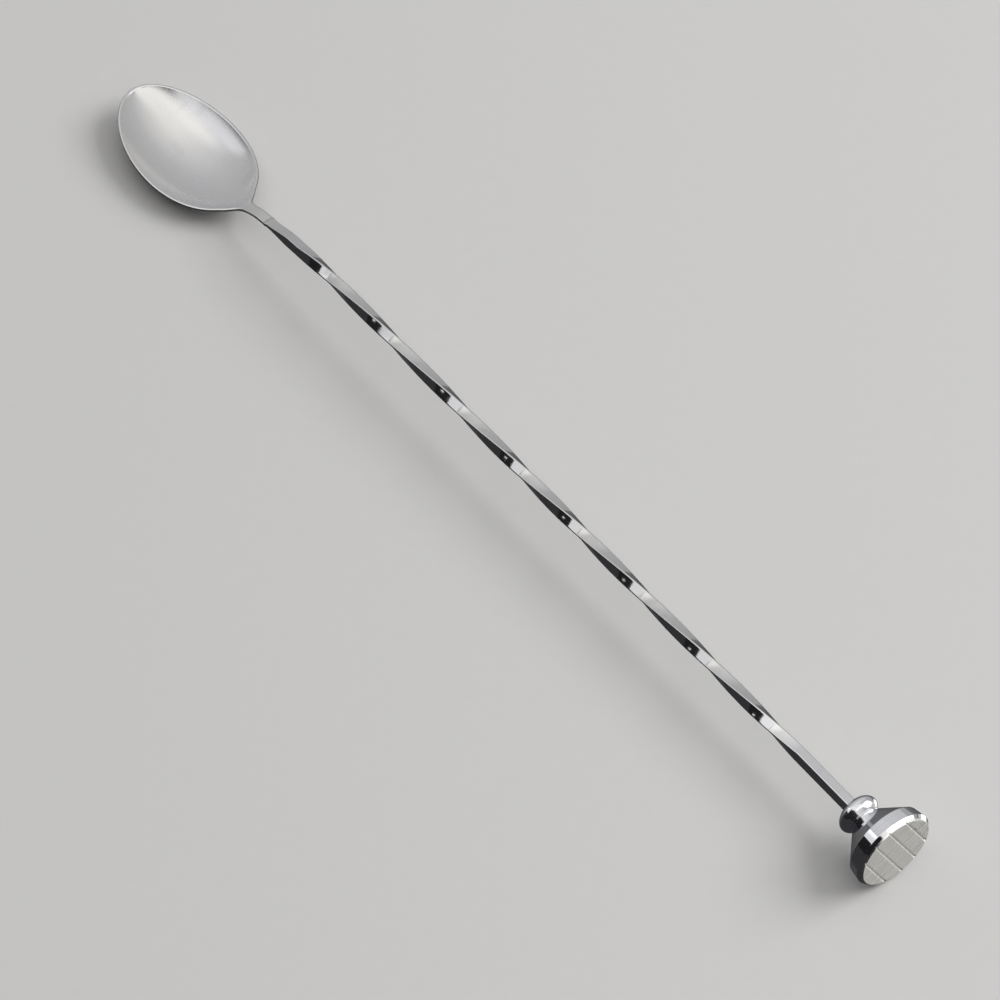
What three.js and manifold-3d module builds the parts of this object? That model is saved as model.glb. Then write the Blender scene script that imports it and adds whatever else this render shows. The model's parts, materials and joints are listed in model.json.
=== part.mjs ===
// Twisted bar spoon with a flat waffle-faced muddler head, lying as it rests on a table.
// Millimetres, +Z up. Every piece is shaped in the shaft frame: the bar's axis is the X
// axis, the bowl is at -X and opens upward, the muddler's face looks along +X. The whole
// group is then tilted a little, so that the bowl and the head's edge touch z = 0.
import * as THREE from 'three';
import { mergeVertices } from 'three/addons/utils/BufferGeometryUtils.js';
import Module from 'manifold-3d';

const wasm = await Module();
wasm.setup();

// Driving dimensions
const overallLength = 305; // bowl tip to muddler face
const fitGap = 0.3; // left between pieces that meet
const steel = 0.9; // sheet thickness of the bowl

const tipX = -overallLength / 2;
const faceX = overallLength / 2;

const bowl = {
  length: 46.2, // tip to the end of the egg outline
  width: 28.85,
  tipPower: 0.52, // how round the outline is at the tip
  neckPower: 0.445, // and at the neck
  joinPower: 4.84, // how tightly the outline turns into the tang
  rimLow: -8.46, // lowest height of the rim
  rimLowX: -119.4,
  rimCurve: 0.00237, // per millimetre, the rim's rise away from there
  hollowLength: 48.6, // the hollow runs out just past the egg's end
  depth: 5.4, // hollow below the rim
  wallPower: 0.85, // 1 is a parabola, less makes steeper walls
  tipFlat: 0.5, // half width where the outline closes
};
const tang = {
  endX: -93.6,
  half: 1.6,
  thick: 1.1,
  rootX: -105.1, // the tang spreads into the bowl around here
  rootFlare: 4.6,
  rootSpread: 0.95,
};
const weld = { length: 0.9, proud: 0.12 };

const bar = {
  side: 2.8,
  corner: 0.3, // flat cut across each corner
  roll: 12, // degrees by which both plain ends are turned
  turns: 2, // left-handed
  twistStart: -79.5,
  twistEnd: 117.7,
  twistLag: 11, // degrees that the hand twist runs behind in its middle
  twistWaver: 5,
  bendStart: -55, // from here to the bowl the bar sinks
  sink: 5.2, // by this much at sinkX
  sinkX: -102.3,
  taperEnd: -83, // full thickness from here on
  shoulderX: 135.8, // end of the square bar, at the bead
  spigotRadius: 1.1,
  spigotEnd: 148,
};
const bead = { x: 138.85, radius: 5.35, half: 2.9, startX: 136.1, endX: 140.4 };
const collar = { x: 141.05, radius: 3.95, half: 1.2, startX: 140.7, endX: 141.4 };
const head = {
  neckRadius: 4.3,
  backRadius: 10.3,
  backX: 148.06,
  rimRadius: 10.84,
  rimX: 151.25,
  faceRadius: 9.93,
};
const waffle = {
  pitch: 4.5, perSide: 2, roll: 26.7,
  // one way the grooves are deep, the other way they are fine
  sets: [{ turn: 0, width: 0.7, depth: 0.35 }, { turn: 90, width: 0.2, depth: 0.17 }],
};

const boreRadius = bar.spigotRadius + fitGap;
const segments = 48;

function metal(name, color, roughness) {
  return new THREE.MeshStandardMaterial({ name, color, roughness, metalness: 1 });
}

const satinSteel = () => metal('satin_steel', 0xd2d2d4, 0.32);
const polishedSteel = () => metal('polished_steel', 0xc8c8ca, 0.12);
const weldSteel = () => metal('weld_steel', 0xa9a39a, 0.45);
const chrome = () => metal('chrome', 0xd8dadf, 0.06);
const brushedSteel = () => metal('brushed_steel', 0xaaa8a0, 0.4);

function piece(name, geometry, material) {
  const mesh = new THREE.Mesh(geometry, material);
  mesh.name = name;
  return mesh;
}

// A geometry with only merged positions, as a solid that can be cut and joined.
function toSolid(geometry) {
  const bare = geometry.clone();
  bare.deleteAttribute('normal');
  bare.deleteAttribute('uv');
  const merged = mergeVertices(bare, 1e-4);
  return new wasm.Manifold(new wasm.Mesh({
    numProp: 3,
    vertProperties: new Float32Array(merged.attributes.position.array),
    triVerts: new Uint32Array(merged.index.array),
  }));
}

function fromSolid(solid) {
  const mesh = solid.getMesh();
  const geometry = new THREE.BufferGeometry();
  geometry.setAttribute('position', new THREE.BufferAttribute(mesh.vertProperties, 3));
  geometry.setIndex(new THREE.BufferAttribute(mesh.triVerts, 1));
  geometry.computeVertexNormals();
  return geometry;
}

// Moves every vertex by a rule that turns (x, y, z) into a new (x, y, z).
function reshape(geometry, rule) {
  const position = geometry.attributes.position;
  for (let i = 0; i < position.count; i += 1) {
    const [x, y, z] = rule(position.getX(i), position.getY(i), position.getZ(i));
    position.setXYZ(i, x, y, z);
  }
  geometry.computeVertexNormals();
  return geometry;
}

// Height of the bar's and bowl's centre line: the rim is a shallow arc, the bar sinks
// toward it in a quarter arc, and the neck joins the two.
const neckBlend = { startX: -109.9, endX: -96 };

function centreHeight(x) {
  const rim = bowl.rimLow + bowl.rimCurve * (x - bowl.rimLowX) ** 2;
  const bend = Math.max(0, (bar.bendStart - x) / (bar.bendStart - bar.sinkX));
  const blend = THREE.MathUtils.smoothstep(x, neckBlend.startX, neckBlend.endX);
  return THREE.MathUtils.lerp(rim, -bar.sink * bend ** 2, blend);
}

// 0 in the bowl, 1 at the end of the tang.
function inTang(x) {
  return THREE.MathUtils.smoothstep(x, tipX + bowl.length, tang.endX);
}

// Half width of the spoon at x: an egg outline that runs into the tang.
function halfWidth(x) {
  const u = THREE.MathUtils.clamp((x - tipX) / bowl.length, 0, 1);
  const widest = bowl.tipPower / (bowl.tipPower + bowl.neckPower);
  const egg = (t) => t ** bowl.tipPower * (1 - t) ** bowl.neckPower;
  const outline = (bowl.width / 2) * (egg(u) / egg(widest));
  const spread = tang.rootFlare / (1 + Math.exp((x - tang.rootX) / tang.rootSpread));
  const shank = u * (tang.half + spread);
  const power = bowl.joinPower;
  return (outline ** power + shank ** power + bowl.tipFlat ** power) ** (1 / power);
}

// Depth of the hollow below the rim: deepest on the centre line, nothing at the edge.
function hollowDepth(x, across) {
  const along = THREE.MathUtils.clamp((2 * (x - tipX)) / bowl.hollowLength - 1, -1, 1);
  return bowl.depth * ((1 - along ** 2) * (1 - across ** 2)) ** bowl.wallPower;
}

// Lowest height of the spoon's underside at x.
function underside(x) {
  return centreHeight(x) - hollowDepth(x, 0) - steel / 2;
}

// Bowl and tang as one stamping: a flat grid box whose top becomes the hollow side
// and whose bottom becomes the underside.
function spoonBowl() {
  const total = tang.endX - tipX;
  const tipCrowding = 0.6; // moves grid rows toward the round tip
  const grid = new THREE.BoxGeometry(1, 2, 2, 40, 14, 1);
  reshape(grid, (gx, gy, gz) => {
    const t = gx + 0.5;
    const x = tipX + total * THREE.MathUtils.lerp(t, t ** 2, tipCrowding);
    const thick = THREE.MathUtils.lerp(steel, tang.thick, inTang(x));
    const z = centreHeight(x) - hollowDepth(x, gy) + (gz * thick) / 2;
    return [x, gy * halfWidth(x), z];
  });
  return piece('spoon_bowl', fromSolid(toSolid(grid)), satinSteel());
}

// Angle of the bar's section at x, in degrees: plain ends, and between them a
// left-handed twist that a hand vice makes a little uneven.
function twistAngle(x) {
  const u = THREE.MathUtils.clamp((x - bar.twistStart) / (bar.twistEnd - bar.twistStart), 0, 1);
  const uneven = bar.twistLag * Math.sin(Math.PI * u) ** 2 - bar.twistWaver * Math.sin(4 * Math.PI * u);
  return -(bar.roll + 360 * bar.turns * u - uneven);
}

// Square bar section with its corners cut, as an outline around the origin.
function barSection() {
  const half = bar.side / 2;
  const cut = half - bar.corner;
  const corners = [
    [half, -cut], [half, cut], [cut, half], [-cut, half],
    [-half, cut], [-half, -cut], [-cut, -half], [cut, -half],
  ];
  return new THREE.Shape(corners.map(([y, z]) => new THREE.Vector2(y, z)));
}

function twistedBar() {
  const startX = tang.endX + 2 * fitGap + weld.length;
  const length = bar.shoulderX - startX;
  const steps = 110;
  const blank = new THREE.ExtrudeGeometry(barSection(), { depth: length, steps, bevelEnabled: false });
  reshape(blank, (sy, sz, along) => {
    const x = startX + along;
    const full = THREE.MathUtils.smoothstep(x, startX - 1, bar.taperEnd);
    const height = THREE.MathUtils.lerp(tang.thick, bar.side, full);
    const angle = THREE.MathUtils.degToRad(twistAngle(x) * (x < bar.twistStart ? full : 1));
    const flat = (sz * height) / bar.side;
    const y = sy * Math.cos(angle) - flat * Math.sin(angle);
    const z = sy * Math.sin(angle) + flat * Math.cos(angle);
    return [x, y, z + centreHeight(x)];
  });
  const overlap = 1;
  const spigotLength = bar.spigotEnd - bar.shoulderX + overlap;
  const spigot = new THREE.CylinderGeometry(bar.spigotRadius, bar.spigotRadius, spigotLength, 24);
  spigot.rotateZ(-Math.PI / 2);
  spigot.translate(bar.spigotEnd - spigotLength / 2, 0, 0);
  return piece('twisted_bar', fromSolid(toSolid(blank).add(toSolid(spigot))), polishedSteel());
}

// Ground seam between the tang and the bar, standing a little proud of both.
function neckWeld() {
  const x = tang.endX + fitGap + weld.length / 2;
  const half = tang.half + weld.proud;
  const seam = new THREE.CylinderGeometry(1, 1, weld.length, 20);
  seam.rotateZ(Math.PI / 2);
  seam.scale(1, half, tang.thick / 2 + weld.proud);
  seam.rotateX(THREE.MathUtils.degToRad(-bar.roll / 2));
  seam.translate(x, 0, centreHeight(x));
  return piece('neck_weld', seam, weldSteel());
}

// Turned pieces: a closed outline of (radius, x) pairs spun round the shaft.
function turned(outline) {
  const points = outline.map(([radius, x]) => new THREE.Vector2(radius, x));
  const spun = new THREE.LatheGeometry(points, segments);
  spun.rotateY(Math.PI / segments);
  spun.rotateZ(-Math.PI / 2);
  return toSolid(spun);
}

// Flattened ball with a bore, cut square at both ends.
function drilledBall(name, ball) {
  const from = Math.acos((ball.startX - ball.x) / ball.half);
  const to = Math.acos((ball.endX - ball.x) / ball.half);
  const steps = 10;
  const outline = [[boreRadius, ball.startX]];
  for (let i = 0; i <= steps; i += 1) {
    const angle = THREE.MathUtils.lerp(from, to, i / steps);
    outline.push([ball.radius * Math.sin(angle), ball.x + ball.half * Math.cos(angle)]);
  }
  outline.push([boreRadius, ball.endX], [boreRadius, ball.startX]);
  return piece(name, fromSolid(turned(outline)), chrome());
}

// Crossed V grooves over the muddler's face.
function waffleCuts() {
  const reach = 2 * (head.rimRadius + 1);
  let cuts = null;
  for (const { turn, width, depth } of waffle.sets) {
    const shape = new THREE.Shape([
      new THREE.Vector2(-depth, 0),
      new THREE.Vector2(depth, -width),
      new THREE.Vector2(depth, width),
    ]);
    for (let i = 0; i < 2 * waffle.perSide; i += 1) {
      const groove = new THREE.ExtrudeGeometry(shape, { depth: reach, bevelEnabled: false });
      groove.translate(faceX, (i - waffle.perSide + 0.5) * waffle.pitch, -reach / 2);
      groove.rotateX(THREE.MathUtils.degToRad(waffle.roll + turn));
      cuts = cuts ? cuts.add(toSolid(groove)) : toSolid(groove);
    }
  }
  return cuts;
}

function muddlerHead() {
  const startX = collar.endX + fitGap;
  const boreEnd = bar.spigotEnd + fitGap;
  const body = turned([
    [0, boreEnd], [boreRadius, boreEnd], [boreRadius, startX], [head.neckRadius, startX],
    [head.backRadius, head.backX], [head.rimRadius, head.rimX],
    [head.faceRadius, faceX], [0, faceX],
  ]);
  return piece('muddler_head', fromSolid(body.subtract(waffleCuts())), brushedSteel());
}

const spoon = new THREE.Group();
spoon.add(spoonBowl(), neckWeld(), twistedBar(), muddlerHead());
spoon.add(drilledBall('lock_bead', bead), drilledBall('neck_collar', collar));

// Tilt until the underside of the bowl and the edge of the head are level, then put
// the origin on the table under the middle of the whole spoon.
const restX = [...Array(201).keys()]
  .map((i) => tipX + (bowl.length * i) / 200)
  .reduce((lowest, x) => (underside(x) < underside(lowest) ? x : lowest));
spoon.rotation.y = Math.atan2(-underside(restX) - head.rimRadius, head.rimX - restX);
spoon.updateMatrixWorld(true);
const extent = new THREE.Box3().setFromObject(spoon, true);
const middle = extent.getCenter(new THREE.Vector3());
spoon.position.set(-middle.x, -middle.y, -extent.min.z);

export default spoon;
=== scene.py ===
import json
import math
import bmesh
import bpy
import numpy as np
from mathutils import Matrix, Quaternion, Vector


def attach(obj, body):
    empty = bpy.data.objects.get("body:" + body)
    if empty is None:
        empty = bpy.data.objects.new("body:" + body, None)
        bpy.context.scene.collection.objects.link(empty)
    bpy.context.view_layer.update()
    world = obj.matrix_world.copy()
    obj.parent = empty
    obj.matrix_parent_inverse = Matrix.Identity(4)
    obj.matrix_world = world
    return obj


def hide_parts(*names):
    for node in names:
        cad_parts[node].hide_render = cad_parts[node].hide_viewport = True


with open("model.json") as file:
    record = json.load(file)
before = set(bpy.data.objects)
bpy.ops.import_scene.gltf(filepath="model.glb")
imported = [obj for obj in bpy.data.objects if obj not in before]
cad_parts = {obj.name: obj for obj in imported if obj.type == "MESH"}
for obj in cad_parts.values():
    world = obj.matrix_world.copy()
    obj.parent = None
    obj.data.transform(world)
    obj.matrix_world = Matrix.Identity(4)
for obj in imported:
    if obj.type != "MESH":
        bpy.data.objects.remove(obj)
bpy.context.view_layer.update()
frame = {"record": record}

mm = 0.001
mergeGap, sliverEdge = 1e-7, 1e-8   # metres, for cleaning a mesh
faceMount = next(m for m in frame["record"]["mounts"] if m["name"] == "muddler_face")
faceCentre = np.array(faceMount["pos_m"])
stemAxis = np.array(faceMount["axis"])
stemUp = np.array([-stemAxis[2], 0.0, stemAxis[0]])
faceX = 152.5   # the face's own x in the stem's frame


def smooth(t):
    t = np.clip(t, 0.0, 1.0)
    return t * t * (3.0 - 2.0 * t)


def placeOnTable(points):
    # stem frame in mm to the table's frame in metres: face centre, plus the way back along
    # the stem, plus y sideways, plus z along the stem's up direction
    along = (points[..., 0:1] - faceX) * stemAxis
    sideways = points[..., 1:2] * np.array([0.0, 1.0, 0.0])
    return faceCentre + (along + sideways + points[..., 2:3] * stemUp) * mm


def gridFaces(rows, columns):
    # quads between neighbouring rows; the columns close on themselves
    row, column = np.meshgrid(np.arange(rows - 1), np.arange(columns), indexing="ij")
    nextColumn = (column + 1) % columns
    corners = [row * columns + column, row * columns + nextColumn,
               (row + 1) * columns + nextColumn, (row + 1) * columns + column]
    return np.stack(corners, axis=-1).reshape(-1, 4)


def addObject(name, data):
    thing = bpy.data.objects.new(name, data)
    bpy.context.scene.collection.objects.link(thing)
    return thing


def surfacePiece(name, points, node, uv=None):
    # points is rows x columns x 3, each row a closed ring; end rings are capped
    rows, columns = points.shape[:2]
    mesh = bpy.data.meshes.new(name)
    quads = gridFaces(rows, columns)
    mesh.from_pydata(placeOnTable(points).reshape(-1, 3).tolist(), [], quads.tolist())
    if uv is not None:
        # the ring's last quad runs on past the seam instead of jumping back to its start
        layer = mesh.uv_layers.new(name="alongStem")
        ringStep = uv[0, 1, 1] - uv[0, 0, 1]
        flat = uv.reshape(-1, 2)[quads.reshape(-1)].reshape(-1, 4, 2).copy()
        wraps = quads[:, 1] < quads[:, 0]
        flat[wraps, 1, 1] = flat[wraps, 0, 1] + ringStep
        flat[wraps, 2, 1] = flat[wraps, 3, 1] + ringStep
        layer.data.foreach_set("uv", flat.reshape(-1).astype(np.float32))
    shell = bmesh.new()
    shell.from_mesh(mesh)
    bmesh.ops.remove_doubles(shell, verts=shell.verts, dist=mergeGap)
    bmesh.ops.dissolve_degenerate(shell, edges=shell.edges, dist=sliverEdge)
    bmesh.ops.holes_fill(shell, edges=[e for e in shell.edges if e.is_boundary], sides=0)
    bmesh.ops.recalc_face_normals(shell, faces=shell.faces)
    for face in shell.faces:
        face.smooth = True
    shell.to_mesh(mesh)
    shell.free()
    piece = addObject(name, mesh)
    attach(piece, "root")
    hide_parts(node)
    return piece


# camera, where a person standing at the table looks down along the stem
cameraView = {
    "azimuth": 52.79, "elevation": 52.26, "roll": -0.77,   # degrees
    "target": (0.0118, -0.0075, 0.008), "distance": 1.4342,
    "lens": 211.4, "sensor": 36.0,   # mm
    "clip": (0.05, 60.0),
}


def makeCamera(look):
    turn, rise = math.radians(look["azimuth"]), math.radians(look["elevation"])
    back = Vector((math.sin(turn) * math.cos(rise), -math.cos(turn) * math.cos(rise), math.sin(rise)))
    data = bpy.data.cameras.new("tableCamera")
    data.lens, data.sensor_width = look["lens"], look["sensor"]
    data.clip_start, data.clip_end = look["clip"]
    camera = addObject("tableCamera", data)
    camera.rotation_mode = "QUATERNION"
    camera.location = Vector(look["target"]) + back * look["distance"]
    tilt = Quaternion((0, 0, 1), math.radians(look["roll"]))
    camera.rotation_quaternion = (-back).to_track_quat("-Z", "Y") @ tilt
    bpy.context.scene.camera = camera


makeCamera(cameraView)
print("camera set")


# bowl and tang, one stamping
bowlShape = {
    "tipX": -152.5, "length": 46.2, "width": 28.85,
    "tipPower": 0.52, "neckPower": 0.445,   # roundness of the egg outline's two ends
    "joinPower": 4.84,   # how tightly the outline turns into the tang
    "rimLow": -8.46, "rimLowX": -119.4, "rimCurve": 0.00237,
    "hollowLength": 48.6, "depth": 5.39,
    "steepness": 4.0,   # the less, the steeper the hollow's walls
    "runOut": 0.12,   # softness of the hollow's end in the neck
    "sheet": 0.9,
    "tangEnd": -93.2, "tangHalf": 1.6, "tangThick": 1.1,
    "thickening": 8.0,   # length in which the sheet becomes the tang
    "rootX": -105.1, "rootFlare": 4.6, "rootSpread": 0.95,
    "rows": 260, "across": 96, "edge": 9,
}
bendShape = {"start": -55.0, "sink": 5.2, "sinkX": -102.3, "blend": (-109.9, -96.0)}


def centreHeight(x, s=bowlShape, b=bendShape):
    # the rim is a shallow arc about its low point, the bar sinks in a quarter arc from a
    # straight start, and a smooth step along the neck leads from one to the other
    rim = s["rimLow"] + s["rimCurve"] * (x - s["rimLowX"]) ** 2
    bend = np.clip((b["start"] - x) / (b["start"] - b["sinkX"]), 0, None)
    share = smooth((x - b["blend"][0]) / (b["blend"][1] - b["blend"][0]))
    return rim * (1 - share) - b["sink"] * bend ** 2 * share


def bowlHalfWidth(x, s=bowlShape):
    # egg outline u^p (1-u)^q scaled to the full width, and a tang that flares where it meets
    # the bowl, joined by the n-th root of the sum of their n-th powers
    u = np.clip((x - s["tipX"]) / s["length"], 0, 1)
    p, q, n = s["tipPower"], s["neckPower"], s["joinPower"]
    peak = (p / (p + q)) ** p * (q / (p + q)) ** q
    egg = s["width"] / 2 * u ** p * (1 - u) ** q / peak
    shank = u * (s["tangHalf"] + s["rootFlare"] / (1 + np.exp((x - s["rootX"]) / s["rootSpread"])))
    return (egg ** n + shank ** n) ** (1 / n)


def bowlPoints(s=bowlShape):
    # middle surface: height of the centre line minus a hollow that is deepest on it and
    # nothing at the rim; its outline is the spoon's, moved in by half the sheet. The two
    # sides are offset by half the sheet along the normal, and a half circle joins them
    t = np.linspace(0, 1, s["rows"])
    outline = np.stack([s["tipX"] + (s["tangEnd"] - s["tipX"]) * t ** 2, 0 * t], axis=1)
    outline[:, 1] = bowlHalfWidth(outline[:, 0])
    run = np.gradient(outline, axis=0)
    run[0] = (0, 1)
    run /= np.linalg.norm(run, axis=1, keepdims=True)
    inTang = smooth((outline[:, 0:1] - s["tipX"] - s["length"]) / s["thickening"])
    thick = s["sheet"] + (s["tangThick"] - s["sheet"]) * inTang
    inner = outline - thick / 2 * np.stack([-run[:, 1], run[:, 0]], axis=1)
    x, half = inner[:, 0:1], inner[:, 1:2]
    half[0] = 0
    v = np.sin(np.linspace(-1, 1, s["across"])[None, :] * math.pi / 2)
    a = 2 * (x - s["tipX"]) / s["hollowLength"] - 1
    along = 1 - a ** 2
    soft = s["runOut"] * smooth(2 * a)
    along = (along + np.sqrt(along ** 2 + soft ** 2)) / 2
    hollow = np.clip(along * (1 - v ** 2), 0, None)
    hollow = (1 + s["steepness"]) * hollow / (hollow + s["steepness"])
    middle = np.stack([x + 0 * v, half * v, centreHeight(x) - s["depth"] * hollow], axis=-1)
    normal = np.cross(np.gradient(middle, axis=0), np.gradient(middle, axis=1))
    normal[0] = normal[1].mean(axis=0)
    normal /= np.linalg.norm(normal, axis=-1, keepdims=True)
    thick = thick[:, :, None]
    top, under = middle + normal * thick / 2, middle - normal * thick / 2
    turn = np.linspace(0, math.pi, s["edge"] + 2)[1:-1][None, :, None]

    def edge(side):
        tangent = np.gradient(middle[:, side], axis=0)
        tangent[0] = (0, 1 if side else -1, 0)
        tangent /= np.linalg.norm(tangent, axis=-1, keepdims=True)
        outward = np.cross(normal[:, side], tangent) * (1 if side else -1)
        start, out = normal[:, side][:, None], outward[:, None]
        return middle[:, side][:, None] + (start * np.cos(turn) + out * np.sin(turn)) * thick / 2

    return np.concatenate([top, edge(-1), under[:, ::-1], edge(0)[:, ::-1]], axis=1)


spoonBowl = surfacePiece("spoonBowl", bowlPoints(), "spoon_bowl")
print("bowl made")


# twisted square bar
barShape = {
    "side": 2.8, "roll": 12.0, "turns": 2,
    "corner": 0.3, "cornerLimit": 0.3,   # mm, and at most this share of the height
    "twist": (-79.5, 117.7), "lag": 11.0, "waver": 5.0,   # mm, degrees
    "start": -93.4, "startThick": 1.1, "taperEnd": -83.0, "end": 136.9,
    "rows": 1100, "flat": 7, "arc": 6,
}


def twistAngle(x, b=barShape):
    # the plain ends' roll, plus two turns spread along the bar, less a slow lag and a waver
    u = np.clip((x - b["twist"][0]) / (b["twist"][1] - b["twist"][0]), 0, 1)
    uneven = b["lag"] * np.sin(math.pi * u) ** 2 - b["waver"] * np.sin(4 * math.pi * u)
    return -np.radians(b["roll"] + 360 * b["turns"] * u - uneven)


def squareRing(flat, arc):
    # one ring round a square with round corners, as four weights: y is a*(half - r) + c*r and
    # z is b*(half - r) + d*r; a flat runs a from 1 to -1, a corner turns (c, d) by 90 degrees
    quarter = np.linspace(0, math.pi / 2, arc + 1)[:-1]
    run = np.sin(np.linspace(1, -1, flat + 1)[:-1] * math.pi / 2)
    corner = np.stack([0 * quarter + 1, 0 * quarter + 1, np.cos(quarter), np.sin(quarter)])
    side = np.stack([run, 0 * run + 1, 0 * run, 0 * run + 1])
    first = np.concatenate([corner, side], axis=1)
    quarters = [first]
    for _ in range(3):
        a, b, c, d = quarters[-1]
        quarters.append(np.stack([-b, a, -d, c]))
    return np.concatenate(quarters, axis=1)


def barPoints(b=barShape):
    # the ring is scaled to the section at x, turned by the twist and carried along the
    # centre line
    x = np.linspace(b["start"], b["end"], b["rows"])[:, None]
    full = smooth((x - b["start"]) / (b["taperEnd"] - b["start"]))
    height = b["startThick"] + (b["side"] - b["startThick"]) * full
    radius = np.minimum(b["corner"], height * b["cornerLimit"])
    ya, zb, yc, zd = squareRing(b["flat"], b["arc"])[:, None, :]
    y = ya * (b["side"] / 2 - radius) + yc * radius
    z = zb * (height / 2 - radius) + zd * radius
    angle = twistAngle(x) * np.where(x < b["twist"][0], full, 1)
    turnedY = y * np.cos(angle) - z * np.sin(angle)
    turnedZ = y * np.sin(angle) + z * np.cos(angle)
    points = np.stack([x + 0 * y, turnedY, turnedZ + centreHeight(x)], axis=-1)
    ring = np.arange(y.shape[1])[None, :] / y.shape[1]
    uv = np.stack([x * mm + 0 * ring, ring * 4 * b["side"] * mm + 0 * x], axis=-1)
    return points, uv


barSurface, barUv = barPoints()
twistedBar = surfacePiece("twistedBar", barSurface, "twisted_bar", barUv)
print("bar made")


# ground weld between tang and bar
weldShape = {
    "start": -94.1, "end": -92.2, "half": 1.5, "corner": 0.35, "proud": 0.09, "lump": 0.05,
    "buried": 0.12, "flatten": 0.6,   # how deep its ends lie, and how much lower it swells in z
    "waves": ((3, 5, 0), (5, -9, 1)),   # lumps round it, their drift along x, their start
    "rows": 40,
}


def weldPoints(w=weldShape, b=barShape):
    # the bar's ring at its thin end, swollen by a sine along x and by low lumps, the mean of
    # two waves round it
    t = np.linspace(0, 1, w["rows"])[:, None]
    x = w["start"] + (w["end"] - w["start"]) * t
    ya, zb, yc, zd = squareRing(b["flat"], b["arc"])[:, None, :]
    radius = b["startThick"] * w["corner"]
    around = np.arange(ya.shape[1])[None, :] / ya.shape[1] * 2 * math.pi
    first, second = [np.sin(count * around + drift * t + start) for count, drift, start in w["waves"]]
    lumps = w["lump"] * (first + second) / 2
    swell = (w["proud"] + lumps) * np.sin(math.pi * t) - w["buried"] * (1 - np.sin(math.pi * t))
    y = ya * (w["half"] - radius) + yc * (radius + swell)
    z = zb * (b["startThick"] / 2 - radius) + zd * (radius + swell * w["flatten"])
    return np.stack([x + 0 * y, y, z + centreHeight(x)], axis=-1)


neckWeld = surfacePiece("neckWeld", weldPoints(), "neck_weld")
print("weld made")


# turned pieces: bead, collar and head
beadShape = {"x": 138.85, "radius": 5.35, "half": 2.9, "from": 136.1, "to": 140.85, "segments": 160}
collarShape = {"x": 141.05, "radius": 3.92, "half": 0.9, "from": 140.6, "to": 141.5, "segments": 160}
headShape = {
    # (x, radius, corner radius) from the neck round to the face
    "outline": [(141.2, 0.0, 0.0), (141.2, 3.85, 0.0), (148.06, 10.29, 0.25),
                (151.25, 10.82, 0.18), (152.5, 9.93, 0.14), (152.5, 0.0, 0.0)],
    "segments": 240,
}


def turned(profile, shape):
    # each (x, r) of the profile goes once round the stem: y = r cos, z = r sin
    around = np.arange(shape["segments"])[None, :] / shape["segments"] * 2 * math.pi
    x, r = profile[:, 0:1], profile[:, 1:2]
    return np.stack([x + 0 * around, r * np.cos(around), r * np.sin(around)], axis=-1)


def ballProfile(ball, steps=48):
    # half an ellipse between two cuts square to the stem
    first = math.acos(max(-1.0, (ball["from"] - ball["x"]) / ball["half"]))
    last = math.acos(min(1.0, (ball["to"] - ball["x"]) / ball["half"]))
    angle = np.linspace(first, last, steps)
    x = ball["x"] + ball["half"] * np.cos(angle)
    profile = np.stack([x, ball["radius"] * np.sin(angle)], axis=1)
    return np.concatenate([[[ball["from"], 0]], profile, [[x[-1], 0]]])


def roundedProfile(outline, steps=8, lead=0.06):
    # straight lines with each corner replaced by an arc tangent to both; a point close to
    # each end of a line keeps its shading flat
    corners = np.array([p[:2] for p in outline], float)
    profile = [corners[:1]]
    for i in range(1, len(corners) - 1):
        radius = outline[i][2]
        before = corners[i - 1] - corners[i]
        after = corners[i + 1] - corners[i]
        before, after = before / np.linalg.norm(before), after / np.linalg.norm(after)
        if radius == 0:
            profile.append(corners[i:i + 1])
            continue
        halfAngle = math.acos(np.clip(before @ after, -1, 1)) / 2
        reach = radius / math.tan(halfAngle)
        inward = (before + after) / np.linalg.norm(before + after)
        centre = corners[i] + inward * radius / math.sin(halfAngle)
        start, stop = corners[i] + before * reach - centre, corners[i] + after * reach - centre
        share = np.linspace(0, 1, steps)[:, None]
        arc = start * (1 - share) + stop * share
        arc *= radius / np.linalg.norm(arc, axis=1, keepdims=True)
        arc = np.concatenate([[arc[0] + before * lead], arc, [arc[-1] + after * lead]])
        profile.append(arc + centre)
    profile.append(corners[-1:])
    return np.concatenate(profile)


beadPoints = turned(ballProfile(beadShape), beadShape)
lockBead = surfacePiece("lockBead", beadPoints, "lock_bead")
collarPoints = turned(ballProfile(collarShape), collarShape)
neckCollar = surfacePiece("neckCollar", collarPoints, "neck_collar")
headPoints = turned(roundedProfile(headShape["outline"]), headShape)
muddlerHead = surfacePiece("muddlerHead", headPoints, "muddler_head")
print("bead, collar and head turned")


# waffle grooves cut into the muddler's face
waffleShape = {
    "pitch": 4.5, "count": 4, "reach": 12.0, "roll": 26.7,
    "sets": [(0, 0.7, 0.35), (90, 0.20, 0.17)],   # turn in degrees, width and depth in mm
    "sharpAngle": 28,   # steeper edges of the head shade as edges
}


def groovePoints(w, turn, width, depth):
    # wedges with their edge below the face, side by side at the pitch, turned about the stem
    offset = (np.arange(w["count"]) - (w["count"] - 1) / 2) * w["pitch"]
    section = np.array([[-depth, 0.0], [depth, -width], [depth, width]])
    x = faceX + np.broadcast_to(section[None, None, :, 0], (w["count"], 2, 3))
    side = offset[:, None, None] + np.broadcast_to(section[None, None, :, 1], (w["count"], 2, 3))
    run = np.broadcast_to(np.array([-w["reach"], w["reach"]])[None, :, None], (w["count"], 2, 3))
    angle = math.radians(w["roll"] + turn)
    y = side * math.cos(angle) - run * math.sin(angle)
    z = side * math.sin(angle) + run * math.cos(angle)
    return np.stack([x, y, z], axis=-1).reshape(-1, 3)


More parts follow.
